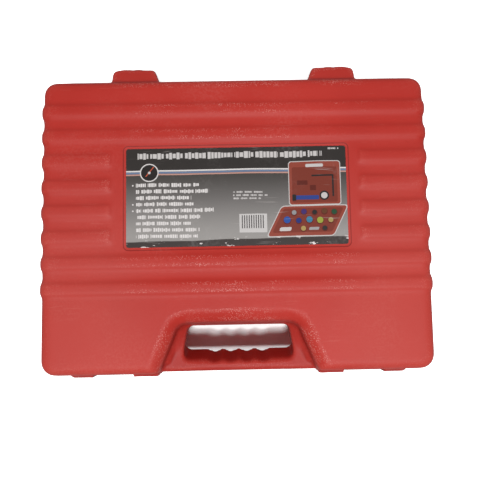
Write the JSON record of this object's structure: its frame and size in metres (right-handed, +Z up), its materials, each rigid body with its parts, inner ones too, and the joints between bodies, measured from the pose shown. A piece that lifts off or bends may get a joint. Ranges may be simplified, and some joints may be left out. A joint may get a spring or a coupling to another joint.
{
  "type": "radiator pressure tester",
  "caption": "Radiator pressure tester kit in a closed moulded carry case: hinged ribbed lid, two clip latches, hand pump with gauge, hoses, test caps and adapters inside",
  "frame": {"origin": "bottom centre of the closed case's bounding box, on the plane of its feet", "axes": "+X to the right along the hinge line, +Y from the carrying handle to the hinges, +Z up out of the lid"},
  "size_m": [0.4448, 0.3583, 0.1158],
  "materials": {
    "case_red": "satin, fine moulded grain",
    "latch_black": "satin",
    "pin_steel": "turned",
    "label_print": "printed film",
    "barrel_blue": "gloss enamel",
    "pump_black": "moulded",
    "rubber_black": "matt",
    "chrome": "polished",
    "brass": "turned",
    "dial_white": "printed",
    "needle_red": "painted",
    "lens_clear": "clear",
    "adapter_metal": "turned",
    "cap_grey": "anodised",
    "cap_purple": "anodised",
    "cap_rear_black": "anodised",
    "cap_brown": "anodised",
    "cap_dark_green": "anodised",
    "cap_brass": "anodised",
    "cap_charcoal": "anodised",
    "cap_brass_white": "anodised",
    "cap_blue": "anodised",
    "cap_dark_blue": "anodised",
    "cap_cyan": "anodised",
    "cap_yellow_green": "anodised",
    "cap_wide_brass": "anodised",
    "cap_front_black": "anodised"
  },
  "bodies": {
    "base": {"base_shell": "case_red", "hinge_pin_left": "pin_steel", "hinge_pin_right": "pin_steel", "cap_nipples": "chrome", "cap_seals": "rubber_black", "adapter_long": "adapter_metal", "adapter_short": "adapter_metal", "cap_grey": "cap_grey", "cap_purple": "cap_purple", "cap_rear_black": "cap_rear_black", "cap_brown": "cap_brown", "cap_dark_green": "cap_dark_green", "cap_brass": "cap_brass", "cap_charcoal": "cap_charcoal", "cap_brass_white": "cap_brass_white", "cap_blue": "cap_blue", "cap_dark_blue": "cap_dark_blue", "cap_cyan": "cap_cyan", "cap_yellow_green": "cap_yellow_green", "cap_wide_brass": "cap_wide_brass", "cap_front_black": "cap_front_black"},
    "lid": {"lid_shell": "case_red", "label": "label_print", "latch_pin_left": "pin_steel", "latch_pin_right": "pin_steel", "pump_barrel": "barrel_blue", "pump_end_cap": "pump_black", "pump_head": "pump_black", "gauge_case": "pump_black", "gauge_boot": "rubber_black", "gauge_dial": "dial_white", "gauge_lens": "lens_clear", "pump_coupler": "chrome", "hose_1": "rubber_black", "hose_2": "rubber_black", "ferrule_pump": "brass", "ferrule_tee_right": "brass", "ferrule_tee_left": "brass", "ferrule_end": "brass", "t_connector": "brass", "hose_coupler": "chrome"},
    "latch_left": {"latch_left": "latch_black"},
    "latch_right": {"latch_right": "latch_black"},
    "plunger": {"pump_handle": "pump_black", "pump_rod": "chrome", "pump_piston": "rubber_black"},
    "valve_button": {"release_valve": "brass"},
    "sleeve": {"coupler_sleeve": "chrome"},
    "needle": {"gauge_needle": "needle_red"}
  },
  "joints": [
    {"name": "lid_hinge", "type": "hinge", "parent": "base", "child": "lid", "pos_m": [0, 0.17155, 0.0584], "axis": [-1, 0, 0], "range_deg": [0, 104]},
    {"name": "latch_left_pivot", "type": "hinge", "parent": "lid", "child": "latch_left", "pos_m": [-0.143, -0.17525, 0.0774], "axis": [-1, 0, 0], "range_deg": [-3, 120]},
    {"name": "latch_right_pivot", "type": "hinge", "parent": "lid", "child": "latch_right", "pos_m": [0.143, -0.17525, 0.0774], "axis": [-1, 0, 0], "range_deg": [-3, 120]},
    {"name": "plunger_slide", "type": "slide", "parent": "lid", "child": "plunger", "axis": [-1, 0, 0], "range_m": [0, 0.012]},
    {"name": "valve_press", "type": "slide", "parent": "lid", "child": "valve_button", "axis": [0, 0, 1], "range_m": [0, 0.002], "stiffness_N_per_m": 400},
    {"name": "sleeve_slide", "type": "slide", "parent": "lid", "child": "sleeve", "axis": [-1, 0, 0], "range_m": [0, 0.003], "stiffness_N_per_m": 400},
    {"name": "needle_turn", "type": "hinge", "parent": "lid", "child": "needle", "pos_m": [-0.014, 0.06905, 0.0644], "axis": [0, 0, 1], "range_deg": [0, 270], "stiffness_Nm_per_rad": 0.0002}
  ]
}
